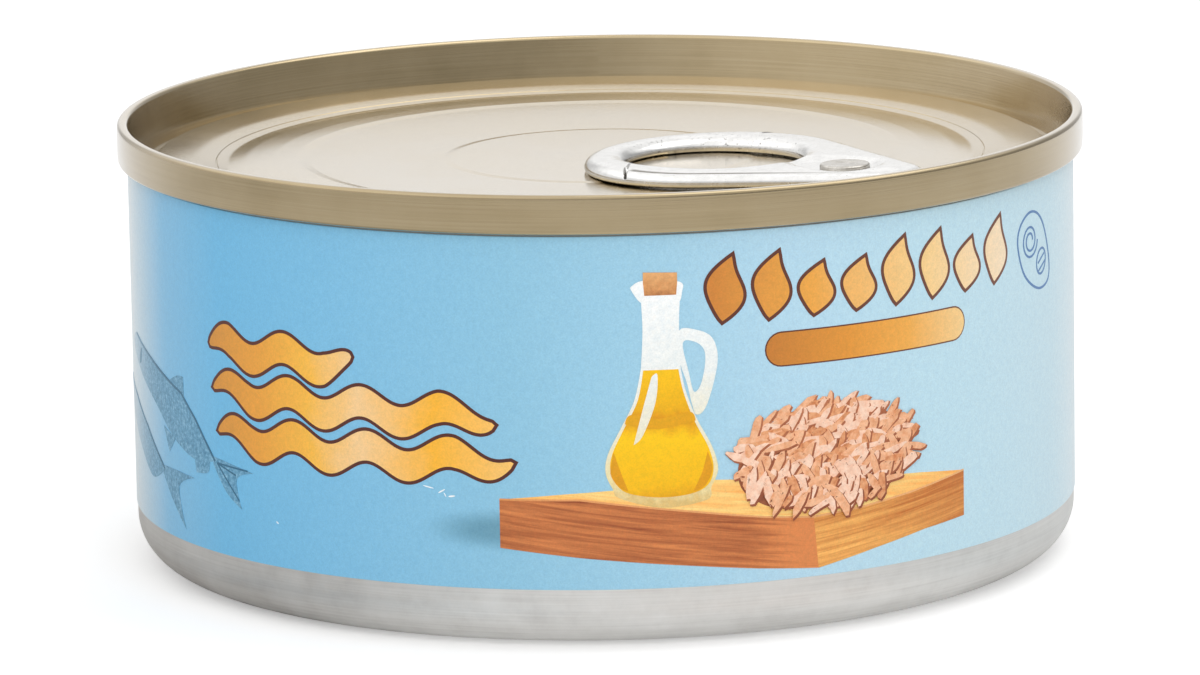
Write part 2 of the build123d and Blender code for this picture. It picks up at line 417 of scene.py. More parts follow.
def paper_finish(tree, colour):
    """Satin varnish over fine halftone grain and a coarser mottle, the same on every printed area."""
    grain = tree.noise(tree.position, 7.0, 2)
    mottle = tree.noise(tree.position, 2.4, 3, 0.7)
    for noise, dark, light in ((grain, (0.93, 0.93, 0.93), (1.04, 1.04, 1.04)),
                               (mottle, (0.92, 0.95, 0.97), (1.06, 1.04, 1.02))):
        colour = tree.blend(1.0, colour, tree.ramp(noise, [(0.3, dark), (0.7, light)]), "MULTIPLY")
    tree.surface.inputs["Specular IOR Level"].default_value = 0.4
    waves = tree.noise(tree.position, 0.09, 2)
    relief = tree.bump(grain, 0.003 * MM, 0.5, tree.bump(waves, 0.25 * MM, 0.25))
    return tree.finish(Base_Color=colour, Roughness=tree.fade(grain, 0.3, 0.7, 0.38, 0.48), Normal=relief)


def label_paper():
    """Blue field, with the soft shadow that the printed board throws on it."""
    tree = Shader("label_blue_and_glare")
    colour, across, height = label_blue_and_glare(tree)
    low = tree.over(tree.minus(height, 10.4), 1.8)
    along = tree.over(tree.minus(across, -9.5), 6.0)
    shadow = tree.fade(tree.length(low, along), 0.2, 1.2, 0.55, 0.0)
    colour = tree.blend(shadow, colour, srgb(58, 112, 130))
    return paper_finish(tree, colour)


def ramped_print(name, stops, axis, stretch=(1, 1), mottle=0.0):
    """Print whose colour runs along or up the label through the stops, broken up by stretched mottling."""
    tree = Shader(name)
    across, height = tree.on_label()
    spread = tree.noise(tree.vector(tree.times(across, stretch[0]), 0.0,
                                    tree.times(height, stretch[1])), 1.0, 3, 0.6)
    low, high = stops[0][0], stops[-1][0]
    value = tree.over(tree.minus(across if axis == "along" else height, low), high - low)
    value = tree.plus(value, tree.times(tree.minus(spread, 0.5), mottle))
    colour = tree.ramp(value, [((place - low) / (high - low), srgb(*tone)) for place, tone in stops])
    return paper_finish(tree, colour)


def wood_print(name, dark, light, slant, change):
    """Wood with long grain lines that follow the edge of the board's face. A change of (from, to, amount)
    brightens or darkens it along the label."""
    tree = Shader(name)
    across, height = tree.on_label()
    level = tree.plus(height, tree.times(across, slant))
    grain = tree.noise(tree.vector(tree.times(across, 0.10), 0.0, tree.times(level, 2.6)),
                       1.0, 5, 0.62, 0.4)
    broad = tree.noise(tree.vector(tree.times(across, 0.03), 0.0, tree.times(level, 0.5)), 1.0, 2)
    value = tree.mix(0.3, grain, broad)
    start, end, amount = change
    value = tree.plus(value, tree.fade(across, start, end, 0.0, amount))
    return paper_finish(tree, tree.ramp(value, [(0.34, srgb(*dark)), (0.64, srgb(*light))]))


def flake_print(tone, dark, light):
    """Cooked flakes, mottled along their grain."""
    tree = Shader("print_flakes_" + tone)
    mottle = tree.noise(tree.position, 1.6, 4, 0.65)
    return paper_finish(tree, tree.ramp(mottle, [(0.3, srgb(*dark)), (0.6, srgb(*light))]))


def fish_print():
    """Blue-grey fish, darker on its back, fading into the label to the left."""
    tree = Shader("print_fish")
    blue, across, _ = label_blue_and_glare(tree)
    scales = tree.noise(tree.position, 3.2, 4, 0.75)
    back = tree.ramp(scales, [(0.32, srgb(58, 112, 142)), (0.5, srgb(98, 154, 186)),
                              (0.68, srgb(156, 200, 222))])
    return paper_finish(tree, tree.blend(tree.fade(across, -60, -50, 0.25, 0.85), blue, back))


def smooth(points, steps=6):
    """Closed smooth curve through points; a point with a third value of 0 stays a sharp corner."""
    out = []
    count = len(points)
    for i in range(count):
        before, start, end, after = (points[(i + k) % count] for k in (-1, 0, 1, 2))
        out_tangent = (Vector(end[:2]) - Vector(before[:2])) / 2 * (0 if len(start) > 2 else 1)
        in_tangent = (Vector(after[:2]) - Vector(start[:2])) / 2 * (0 if len(end) > 2 else 1)
        straight = len(start) > 2 and len(end) > 2
        for k in range(1 if straight else steps):
            t = k / steps
            out.append(Vector(start[:2]) * (2 * t**3 - 3 * t**2 + 1) + out_tangent * (t**3 - 2 * t**2 + t)
                       + Vector(end[:2]) * (3 * t**2 - 2 * t**3) + in_tangent * (t**3 - t**2))
    return out


def widened(loop, distance):
    """Closed outline moved outwards, whichever way round it is given."""
    area = sum(a.x * b.y - b.x * a.y for a, b in zip(loop, loop[1:] + loop[:1]))
    side = distance if area > 0 else -distance
    out = []
    for before, here, after in zip(loop[-1:] + loop[:-1], loop, loop[1:] + loop[:1]):
        one = (here - before).normalized()
        two = (after - here).normalized()
        normal = Vector((one.y + two.y, -one.x - two.x))
        normal = normal.normalized() if normal.length > 1e-6 else Vector((one.y, -one.x))
        lean = max(0.5, normal.dot(Vector((one.y, -one.x))))
        out.append(here + normal * (side / lean))
    return out


def stroke(points, width):
    """Closed outline of a line drawn through points with round-cut ends."""
    left, right = [], []
    for i, here in enumerate(points):
        along = (points[min(i + 1, len(points) - 1)] - points[max(i - 1, 0)]).normalized()
        normal = Vector((-along.y, along.x)) * (width / 2)
        left.append(here + normal)
        right.append(here - normal)
    return left + right[::-1]


def oval(centre, half_width, half_height, lean=0.0, steps=32):
    """Closed oval, turned anticlockwise by an angle in degrees."""
    turn = Matrix.Rotation(radians(lean), 2)
    return [Vector(centre) + turn @ Vector((half_width * cos(2 * pi * k / steps),
                                            half_height * sin(2 * pi * k / steps))) for k in range(steps)]


def printed(name, shapes, material, level=0.0, thickness=0.02, grid=1.0):
    """Wraps flat outlines (millimetres round and up the label) onto the label as one thin layer.
    A shape is a list of loops, the first its outside and any others holes, or a (loops, level) pair."""
    bm = bmesh.new()
    for shape in shapes:
        loops, height = shape if isinstance(shape, tuple) else (shape, level)
        edges = []
        for loop in loops:
            corners = [bm.verts.new((p.x, height, p.y)) for p in loop]
            edges += [bm.edges.new((corners[i - 1], corners[i])) for i in range(len(corners))]
        bmesh.ops.triangle_fill(bm, edges=edges, use_beauty=False, normal=(0, -1, 0))
    low = min(v.co.x for v in bm.verts)
    high = max(v.co.x for v in bm.verts)
    cut = floor(low / grid) * grid + grid
    while cut < high - 0.01:
        geom = bm.verts[:] + bm.edges[:] + bm.faces[:]
        bmesh.ops.bisect_plane(bm, geom=geom, dist=0.004, plane_co=(cut, 0, 0), plane_no=(1, 0, 0))
        cut += grid
    grown = bmesh.ops.extrude_face_region(bm, geom=bm.faces[:], use_keep_orig=True)["geom"]
    for item in grown:
        if isinstance(item, bmesh.types.BMVert):
            item.co.y += thickness
    for vert in bm.verts:
        turn = vert.co.x * MM / LABEL_RADIUS
        radius = LABEL_RADIUS + vert.co.y * MM
        vert.co = (radius * sin(turn), -radius * cos(turn), vert.co.z * MM)
    return new_object(name, bm, material)


# ------ body, label and end

def build_body(material):
    """Drawn steel body, standing on a narrow ring, closed under the end."""
    corner = BODY_RADIUS / MM - BASE_CORNER
    recess = corner - 1.1 - 1.7
    base = rounded([(0, 1.5), (recess - 9, 1.5), (recess - 8, 1.1), (recess, 1.1),
                    (corner - 1.1, 0), (corner, 0)], [1, 1, 0.5, 0.5])
    side = [Vector((corner + BASE_CORNER * sin(a), BASE_CORNER - BASE_CORNER * cos(a)))
            for a in (radians(90 * k / 16) for k in range(1, 17))]
    wall = BODY_RADIUS / MM
    foot = HEIGHT / MM - SEAM_LENGTH
    top = [(wall, 12), (wall, 24), (wall, foot - 0.02), (wall - 0.35, foot - 0.02),
           (wall - 0.4, foot - 1.6), (0, foot - 1.6)]
    piece = new_object("steel_body", revolved(base + side + [Vector(p) for p in top]),
                       material)
    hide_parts("can_body")


def build_label(material):
    """Paper sleeve, and the lap where its ends are glued at the back."""
    low, high = label_low.z / MM, label_high.z / MM
    inside, outside = BODY_RADIUS / MM, LABEL_RADIUS / MM
    profile = [(inside, low), (outside - 0.03, low), (outside, low + 0.03)]
    profile += [(outside, low + (high - low) * k / 12) for k in range(1, 12)]
    profile += [(outside, high - 0.03), (outside - 0.03, high), (inside, high)]
    piece = new_object("paper_label", revolved([Vector(p) for p in profile]), material)
    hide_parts("label")
    lap = [Vector(p) for p in ((124, low + 0.05), (131, low + 0.05), (131, high - 0.05), (124, high - 0.05))]
    printed("label_lap", [[lap]], material, thickness=0.06)


def lid_profile():
    """Upper side of the end from its middle to the foot of the seam's wall, and each corner's rounding."""
    rim = HEIGHT / MM

    def dish(radius, rise):
        return radius, rim - 3.77 - 0.47 * (1 - (radius / DISH_RADIUS) ** 2) + rise

    points = [(0, rim - 4.17), dish(13.3, 0.07), dish(14.0, 0), (DISH_RADIUS, rim - 3.77),
              (26.9, rim - CROWN_DEPTH), (29.0, rim - 3.68), (31.6, rim - 3.80),
              (SLOPE_FOOT_RADIUS, rim - SLOPE_FOOT_DEPTH),
              (LAND_RADIUS, rim - LAND_DEPTH), (39.6, rim - 3.42),
              (GROOVE_INNER, rim - GROOVE_DEPTH), (GROOVE_OUTER, rim - GROOVE_DEPTH)]
    radii = [1.0] * 2 + [1.5] * 2 + [8.0] * 2 + [1.4, 8.0, 0.7] + [0.3] * 2
    return points, radii


def build_end(material):
    """Easy-open end with its seam, one sheet thick, and the score line that it tears along."""
    rim = HEIGHT / MM
    outer = SEAM_RADIUS / MM
    foot = rim - SEAM_LENGTH
    points, radii = lid_profile()
    upper = rounded(points + [(outer - 0.95, rim)], radii)[:-1]
    rise = (SLOPE_FOOT_DEPTH - LAND_DEPTH) / (LAND_RADIUS - SLOPE_FOOT_RADIUS)
    level = rim - SLOPE_FOOT_DEPTH + (SCORE_RADIUS - SLOPE_FOOT_RADIUS) * rise
    score = [Vector((SCORE_RADIUS + step, level + step * rise - depth))
             for step, depth in ((-0.08, 0), (-0.03, SCORE_DEPTH), (0.03, SCORE_DEPTH), (0.08, 0))]
    place = next(i for i, p in enumerate(upper) if p.x > SCORE_RADIUS + 0.1)
    upper[place:place] = score
    heel = (GROOVE_OUTER + SHEET, rim - GROOVE_DEPTH - SHEET)
    seam = [(GROOVE_OUTER, rim - GROOVE_DEPTH), (outer - 0.95, rim), (outer - 0.02, rim),
            (outer, foot + 1.2), (outer - 0.03, foot), (41.82, foot), heel]
    seam = rounded(seam, [0.36, 0.38, 4.0, 0.3, 0.1], 8)[1:-1]
    under = [(r - (SHEET if r > GROOVE_INNER - 0.1 else 0), z - SHEET) for r, z in points[:-1]]
    under = rounded(under + [heel], radii[:-1], 4)
    piece = new_object("easy_open_lid", revolved(upper + seam + under[::-1]), material)
    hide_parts("easy_open_end")


# ------ tab and rivet

def tab_frame():
    """Matrix to the scene from the tab's millimetres: along, across and up from its under side."""
    heading = Vector((cos(TAB_HEADING), sin(TAB_HEADING), 0))
    up = Vector((0, 0, 1))
    along = heading * cos(TAB_TILT) + up * sin(TAB_TILT)
    normal = heading * -sin(TAB_TILT) + up * cos(TAB_TILT)
    across = normal.cross(along)
    seat = HEIGHT / MM - CROWN_DEPTH + 0.02
    origin = heading * RIVET_ALONG + up * seat - along * RIVET_ALONG
    rotation = Matrix((along, across, normal)).transposed().to_4x4()
    return Matrix.Scale(MM, 4) @ Matrix.Translation(origin) @ rotation


def tab_outline(count):
    """Rays from the middle of the finger hole, and how far out the hole's edge and the tab's outline are."""
    meet, _ = tab_side()
    turn = np.arctan2(RING_WIDTH * np.sin(meet), RING_LENGTH * np.cos(meet))
    oval_turns = np.linspace(turn, 2 * np.pi - turn, 2000)
    nose_turns = np.linspace(-meet, meet, 800)
    nose_x, nose_y = NOSE_CENTRE + NOSE_RADIUS * np.cos(nose_turns), NOSE_RADIUS * np.sin(nose_turns)
    ring_x, ring_y = RING_CENTRE + RING_LENGTH * np.cos(oval_turns), RING_WIDTH * np.sin(oval_turns)
    x, y = (np.concatenate([nose, np.linspace(nose[-1], ring[0], 400),
                            ring, np.linspace(ring[-1], nose[0], 400)])
            for nose, ring in ((nose_x, ring_x), (nose_y, ring_y)))
    rays = 2 * np.pi * np.arange(count) / count
    rays = rays + 0.25 * np.sin(2 * rays)  # denser where the slits are
    outer = np.interp(rays, np.unwrap(np.arctan2(y, x - HOLE_CENTRE)), np.hypot(x - HOLE_CENTRE, y),
                      period=2 * np.pi)
    power = 2.15  # a little squarer than an oval
    inner = (abs(np.cos(rays)) / HOLE_LENGTH) ** power + (abs(np.sin(rays)) / HOLE_WIDTH) ** power
    inner = inner ** (-1 / power)
    return rays, inner, outer


def distance_to_loop(points, loop):
    """Distance from each point to a closed polyline, both as arrays of x and y."""
    start, step = loop, np.roll(loop, -1, axis=0) - loop
    best = np.full(len(points), 1e9)
    for a, s in zip(start, step):
        offset = points - a
        share = np.clip(offset @ s / (s @ s), 0, 1)
        best = np.minimum(best, np.hypot(*(offset - share[:, None] * s).T))
    return best


def smooth_step(value, low, high):
    t = np.clip((value - low) / (high - low), 0, 1)
    return t * t * (3 - 2 * t)


def curl(distance, width):
    """Height, from 0 to 1, of a curled edge at a distance in from it: a quarter oval of this width."""
    share = np.clip(distance / width, 0, 1)
    return np.sqrt(1 - (1 - share) ** 2)


def raised(level, share):
    """Height that goes from the tab's edge, a little below its mid-plane, to a level as the share grows."""
    return -RIM_DROP + (level + RIM_DROP) * share


def build_tab(material, painted_slit_shade):
    """Ring-pull tab: a curled ring with a slit at each side, then a nose with a bead along its near side and
    a web that is recessed for the rivet."""
    rays, inner, outer = tab_outline(TAB_RAYS)
    direction = np.stack([np.cos(rays), np.sin(rays)], axis=1)
    centre = np.array([HOLE_CENTRE, 0.0])
    rim_steps = np.array([0, 0.01, 0.03, 0.07, 0.12, 0.2, 0.3, 0.42, 0.56, 0.72, 0.9, 1.1, 1.3, 1.5]) / 1.5
    edge_steps = np.append(rim_steps * 0.5, np.linspace(0.5, 1, 12)[1:])
    middle = np.linspace(0, 1, 44)[1:-1]
    outline = centre + direction * outer[:, None]
    hole = centre + direction * inner[:, None]
    width = outer - inner
    rim_reach, edge_reach = np.minimum(1.5, 0.3 * width), np.minimum(3.0, 0.5 * width)
    reaches = [inner + step * rim_reach for step in rim_steps]
    reaches += [inner + rim_reach + share * (width - rim_reach - edge_reach) for share in middle]
    reaches += [outer - step * edge_reach for step in edge_steps[::-1]]
    flat = np.concatenate([centre + direction * reach[:, None] for reach in reaches])
    edge = distance_to_loop(flat, outline[::2])
    rim = distance_to_loop(flat, hole[::2])
    rim_row, edge_row = slice(0, TAB_RAYS), slice(len(flat) - TAB_RAYS, len(flat))
    rim[rim_row] = 0
    edge[edge_row] = 0
    half = TAB_THICKNESS / 2
    lean = (edge - rim) / (edge + rim)
    ring = raised(half, curl(rim, 1.6) * curl(edge, 1.2) * (1 - 0.06 * lean**2))
    # Past the slits, the near side has a bead with a crease beside it, and the far side one plain curl
    along, across = flat[:, 0], flat[:, 1]
    near = smooth_step(-across, 0.0, 1.5)
    fall = np.clip((BEAD_WIDTH + FALL_WIDTH - edge) / FALL_WIDTH, 0, 1) ** 2 * near
    valley = smooth_step(edge, 0.85, BEAD_WIDTH) * near
    bar = raised(BEAD_HEIGHT + (WEB_LEVEL - BEAD_HEIGHT) * (1 - near), curl(edge, 0.7 + 0.8 * (1 - near)))
    nose = bar * (1 - valley) + (WEB_LEVEL - WEB_FALL * fall) * valley
    nose = raised(nose, curl(rim, 1.4))
    from_slit = along + SLIT_SLANT * edge - SLIT_PLACE
    past_slit = smooth_step(from_slit, -0.05, 0.15)
    top = ring * (1 - past_slit) + nose * past_slit
    slit = 1 - smooth_step(abs(from_slit), 0.10, 0.18)
    slit = slit * (1 - smooth_step(edge, 1.3, 1.7)) * smooth_step(edge, 0.0, 0.1)
    top = top - 0.8 * slit * (top + RIM_DROP)
    behind = np.where(along < RIVET_ALONG, (along - RIVET_ALONG) / 1.8, along - RIVET_ALONG)
    recess = 1 - smooth_step(np.hypot(behind, across), WEB_RECESS - 0.7, WEB_RECESS + 0.7)
    top = top * (1 - recess) + (half - 0.45) * recess
    under = raised(-half, curl(rim, 0.15) * curl(edge, 0.3))
    place = tab_frame()
    bm = bmesh.new()
    count = len(reaches)
    order = [(k, top) for k in range(count)]
    order += [(k, under) for k in range(count - 2, 0, -3)]
    rings = []
    for k, level in order:
        base = k * TAB_RAYS
        rings.append([bm.verts.new(place @ Vector((flat[base + j, 0], flat[base + j, 1],
                                                   half + level[base + j])))
                      for j in range(TAB_RAYS)])
    # Painted shade: faces in the slits take the second, darker material.
    dark = slit > 0.3
    for k, (lower, higher) in enumerate(zip(rings, rings[1:] + rings[:1])):
        for j in range(TAB_RAYS):
            n = (j + 1) % TAB_RAYS
            face = bm.faces.new((lower[j], lower[n], higher[n], higher[j]))
            if k < count - 1 and dark[k * TAB_RAYS + j]:
                face.material_index = 1
    piece = new_object("ring_pull_tab", bm, material, 60)
    piece.data.materials.append(painted_slit_shade)
    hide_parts("pull_tab")


def build_rivet(material):
    """Staked rivet: a stem out of the panel and a low head with a dimple, in the tab's recess."""
    level = TAB_THICKNESS - 0.45
    profile = rounded([(0, level + 0.3), (0.8, level + 0.3), (1.2, level + 0.4), (2.2, level + 0.4),
                       (2.2, level - 0.02), (1.4, level - 0.02), (1.4, -0.25), (0, -0.25)],
                      [0.3, 0.3, 0.22, 0.05, 0.05, 0.05])
    bm = revolved(profile, 96, 1.0)
    bmesh.ops.translate(bm, verts=bm.verts, vec=(RIVET_ALONG, 0, 0))
    bm.transform(tab_frame())
    new_object("rivet", bm, material)


# ------ printed design, millimetres round and up the label

def build_words():
    """Gold shapes in the places of the two words and the line under them: waves, leaves and a plain pill."""
    outline = ramped_print("print_brown", [(-40, (92, 44, 34)), (-8, (84, 40, 32)), (10, (96, 48, 34)),
                                           (42, (120, 76, 60))], "along", (1, 1), 0.2)
    gold = ramped_print("print_gold", [
        (-40, (216, 146, 58)), (-33, (238, 164, 62)), (-27, (252, 190, 72)), (-22, (250, 208, 150)),
        (-15, (252, 184, 52)), (-8, (250, 196, 108)), (9, (206, 130, 52)), (18, (236, 166, 70)),
        (30, (248, 208, 142)), (42, (250, 228, 198))], "along", (0.4, 0.4), 0.04)
    pill_gold = ramped_print("print_pill", [
        (14, (196, 122, 46)), (22, (226, 150, 54)), (28, (240, 172, 76)), (35, (248, 210, 146))],
        "along", (0.4, 0.4), 0.05)
    waves = []
    for row, (level, start, end) in enumerate([(16.3, -38.6, -7.8), (20.1, -39.2, -9.4),
                                               (23.9, -39.6, -22.5)]):
        upper, lower = [], []
        count = 120
        for k in range(count + 1):
            share = k / count
            u = start + (end - start) * share
            turn = 2 * pi * (u + 0.5 * row) / 7.7
            half = 1.28 * min(1.0, 6 * share, 6 * (1 - share)) ** 0.5 + 0.01
            middle = level + 0.75 * sin(turn)
            upper.append(Vector((u, middle + half)))
            lower.append(Vector((u, middle - half)))
        waves.append([upper + lower[-2:0:-1]])
    leaves = []
    for k in range(8):
        middle_u = 10.6 + 4.15 * k
        tall = 2.75 if k in (0, 1, 4, 5, 7) else 2.15
        left, right = [], []
        for j in range(25):
            share = j / 24
            height = 28.1 + 2 * tall * share
            wide = 1.75 * sin(pi * share) ** 0.9 * (0.8 + 0.4 * (1 - share))
            lean = 0.9 * (share - 0.5) + 0.35 * sin(2 * pi * share)
            left.append(Vector((middle_u + lean - wide, height)))
            right.append(Vector((middle_u + lean + 0.75 * wide, height)))
        leaves.append([right + left[-2:0:-1]])
    pill = [Vector((end + side * 1.4 * sin(pi * k / 12), 25.3 - side * 1.4 * cos(pi * k / 12)))
            for end, side in ((15.4, -1), (33.4, 1)) for k in range(13)]
    printed("print_shape_edges",
            [[widened(loop, 0.3) for loop in shape] for shape in waves + leaves], outline, 0.0)
    printed("print_pill_edge", [[widened(pill, 0.12)]], outline, 0.0)
    printed("print_shapes", waves + leaves, gold, 0.01)
    printed("print_pill", [[pill]], pill_gold, 0.01)


def build_icon():
    """Thin-lined badge: a tilted oval with a small curl and a ring in it."""
    blue = ramped_print("print_icon_blue", [(42, (88, 128, 178)), (51, (96, 138, 186))],
                        "along", (1, 1), 0.3)
    outer = smooth([(45.5, 33.2), (43.6, 32.2), (43.1, 30.4), (44.4, 27.6), (47.2, 26.0), (49.6, 26.3),
                    (50.1, 28.0), (49.0, 31.0), (47.5, 32.7)], 6)
    spiral = []
    for k in range(40):
        turn, reach = 0.32 * k, 0.5 + 0.028 * k
        spiral.append(Vector((45.6 + reach * cos(turn), 30.6 + reach * sin(turn))))
    ring = oval((48.0, 28.4), 1.1, 1.25, -30, 28)
    shapes = [[outer, widened(outer, -0.22)], [stroke(spiral, 0.2)], [ring, widened(ring, -0.2)]]
    shapes.append([stroke([Vector((47.3, 28.3)), Vector((48.7, 29.0))], 0.18)])
    shapes.append([stroke([Vector((47.4, 27.6)), Vector((48.9, 28.3))], 0.18)])
    printed("print_badge", shapes, blue, 0.0)


def build_fish():
    """Two fish at the left of the front, the lower one running round the side."""
    upper = [(-57.5, 21.6), (-52, 20.4), (-47.5, 19.2), (-44.8, 18.5), (-42.3, 16.6), (-39.2, 13.4, 0),
             (-42.5, 13.0), (-46.7, 14.3), (-50.5, 16.4), (-56, 18.6), (-59.5, 20.4)]
    upper_tail = [(-39.8, 13.8, 0), (-37.6, 13.6), (-33.8, 13.1, 0), (-36.1, 12.3), (-35.5, 9.7, 0),
                  (-37.6, 10.9), (-39.4, 13.0, 0)]
    upper_fin = [(-47.6, 19.1, 0), (-45.7, 19.9), (-44.4, 20.0, 0), (-44.3, 18.2, 0)]
    lower_fin = [(-42.6, 13.2, 0), (-42.3, 11.9, 0), (-40.4, 12.2), (-40.0, 13.3, 0)]
    side_fin = [(-48.8, 14.9, 0), (-47.6, 12.8, 0), (-46.2, 14.2, 0)]
    lower = [(-62.5, 17.0), (-58, 15.8), (-53.7, 14.0), (-48.8, 11.0, 0), (-52.1, 9.7), (-56, 11.4),
             (-61, 14.2)]
    lower_tail = [(-49.4, 11.3, 0), (-46, 11.4), (-42.7, 11.3, 0), (-45.7, 10.0), (-44.5, 6.4, 0),
                  (-47.4, 8.8), (-49.2, 10.6, 0)]
    shapes = [[smooth(points)] for points in (upper, upper_tail, upper_fin, lower_fin, side_fin,
                                              lower, lower_tail)]
    printed("print_fish", [(shape, 0.002 * k) for k, shape in enumerate(shapes)], fish_print())
    dark = ramped_print("print_fish_lines", [(-60, (138, 174, 198)), (-50, (72, 122, 150)),
                                             (-34, (50, 106, 136))], "along", (2, 2), 0.4)
    backs = []
    for points in (upper[:6], lower[:4]):
        line = [Vector(p[:2]) for p in points]
        backs.append([stroke(line, 0.22)])
    gill = smooth([(-55.2, 20.7), (-56.0, 20.0), (-56.2, 19.2), (-55.7, 19.3), (-55.4, 20.0)], 3)
    rays = [[stroke([Vector((-38.9, 13.3)), Vector(end)], 0.14)]
            for end in ((-34.6, 13.2), (-36.2, 12.6), (-35.8, 10.4))]
    printed("print_fish_lines", backs + [[gill]] + rays, dark, 0.02)


def build_board():
    """Wooden board: top and two sides, with the light edge between them."""
    top = [(-9.1, 13.1), (-2.2, 13.1), (7.6, 11.8), (13.8, 10.9), (18.2, 10.5), (22.9, 10.8), (28.3, 11.4),
           (34.6, 12.3), (29.4, 12.9), (20.0, 13.7), (10.6, 14.4), (8.8, 14.5), (-3.7, 13.6)]
    front = [(-9.1, 13.1), (-2.2, 13.1), (7.6, 11.8), (13.8, 10.9), (18.2, 10.5), (18.6, 6.0), (13.0, 6.5),
             (7.6, 7.1), (-2.3, 8.1), (-9.1, 8.9)]
    side = [(18.2, 10.5), (22.9, 10.8), (28.3, 11.4), (34.6, 12.3), (34.6, 8.3), (29.7, 7.9), (24.6, 7.1),
            (18.6, 6.0)]
    faces = {"top": (top, (255, 182, 94), (255, 232, 150), 0.10, (20, 34, -0.1)),
             "front": (front, (140, 64, 30), (222, 136, 76), 0.135, (11, 18.4, 0.22)),
             "side": (side, (196, 112, 46), (255, 190, 102), -0.12, (22, 34, -0.12))}
    for level, (name, (points, dark, light, slant, change)) in enumerate(faces.items()):
        material = wood_print("print_board_" + name, dark, light, slant, change)
        printed("print_board_" + name, [[[Vector(p) for p in points]]], material, 0.003 * level)
    edge = ramped_print("print_board_edges", [(-10, (226, 150, 90)), (35, (240, 180, 120))],
                        "along", (2, 2), 0.4)
    lines = [top[:5], top[4:8]]
    printed("print_board_edges", [[stroke([Vector(p) for p in line], 0.16)] for line in lines], edge, 0.012)


def build_bottle():
    """Glass jug of oil with a cork."""
    glass = ramped_print("print_glass", [(12.5, (224, 190, 120)), (14.5, (240, 224, 170)),
                                         (24, (238, 242, 240)), (32, (250, 252, 252))],
                         "up", (1, 1), 0.2)
    oil = ramped_print("print_oil", [(12.8, (222, 150, 0)), (14.2, (246, 188, 0)), (18.4, (254, 202, 0)),
                                     (19.8, (222, 146, 0)), (20.8, (238, 176, 0)), (24.4, (252, 198, 0))],
                       "up", (0.5, 0.4), 0.22)
    amber = ramped_print("print_amber", [(12.8, (224, 152, 4)), (24.4, (232, 172, 10))],
                         "up", (0.5, 0.5), 0.6)
    cork = ramped_print("print_cork", [(30, (170, 106, 60)), (31.2, (214, 150, 92)), (33, (236, 178, 118))],
                        "up", (2, 2), 0.9)
    handle = smooth([(6.4, 27.5), (7.9, 27.5), (9.2, 26.8), (9.7, 25.2), (9.4, 23.2), (8.6, 20.8),
                     (7.8, 20.2), (7.4, 21.2), (7.0, 23.0), (6.4, 25.0)], 5)
    grip = smooth([(6.7, 26.4), (7.7, 26.5), (8.5, 25.8), (8.6, 24.6),
                   (8.2, 22.8), (7.6, 22.2), (7.2, 23.8)], 5)
    neck = smooth([(3.2, 30.2, 0), (3.3, 27.5), (3.1, 24.2, 0),
                   (6.5, 24.2, 0), (6.4, 27.5), (6.5, 30.2, 0)], 5)
    lip = smooth([(2.3, 31.3, 0), (3.4, 31.9), (6.5, 31.7), (6.7, 30.8),
                  (6.3, 29.8), (4.8, 29.6), (3.2, 30.0)], 5)
    body = smooth([(3.1, 24.3, 0), (6.5, 24.3, 0), (6.9, 22.3), (7.8, 19.9), (9.1, 17.4), (9.6, 15.4),
                   (9.0, 13.9), (8.6, 12.8), (4.8, 12.3), (1.2, 13.2), (0.6, 14.0), (0.0, 15.4),
                   (0.2, 17.0), (1.3, 19.2), (2.5, 21.6)], 5)
    fill = smooth([(3.3, 24.2, 0), (6.3, 24.2, 0), (6.7, 22.2), (7.6, 19.7), (8.8, 17.3), (9.2, 15.5),
                   (8.7, 14.1), (7.2, 13.4), (4.6, 13.2), (2.0, 13.6), (0.9, 14.4), (0.4, 15.6),
                   (0.6, 17.1), (1.6, 19.2), (2.8, 21.6)], 5)
    bands = [smooth([(1.7, 19.6, 0), (4.4, 19.1), (7.7, 19.7, 0), (7.2, 20.5), (4.6, 20.0), (2.2, 20.4)], 5),
             smooth([(0.7, 17.2, 0), (0.4, 15.4), (1.1, 14.2), (1.9, 13.8, 0), (1.3, 15.4)], 5),
             smooth([(8.7, 17.0, 0), (9.1, 15.4), (8.4, 14.0), (7.4, 13.6, 0), (8.2, 15.2)], 5)]
    shines = [smooth([(4.0, 23.6, 0), (4.5, 23.8), (4.3, 21.4),
                      (3.2, 18.6), (2.4, 17.8, 0), (3.2, 20.8)], 5),
              smooth([(5.6, 29.0, 0), (6.0, 29.0, 0), (6.0, 25.0, 0), (5.6, 25.0, 0)], 3)]
    stopper = [Vector(p) for p in ((3.5, 30.6), (6.2, 30.6), (6.3, 31.7),
                                   (6.3, 32.5), (3.4, 32.6), (3.4, 31.7))]
    printed("print_glass", [([body], 0.02), ([handle, grip], 0.022), ([neck], 0.024), ([lip], 0.027)], glass)
    printed("print_oil", [[fill]], oil, 0.03)
    printed("print_amber", [[band] for band in bands], amber, 0.04)
    printed("print_shines", [[shine] for shine in shines], glass, 0.045)
    printed("print_cork", [[stopper]], cork, 0.04)


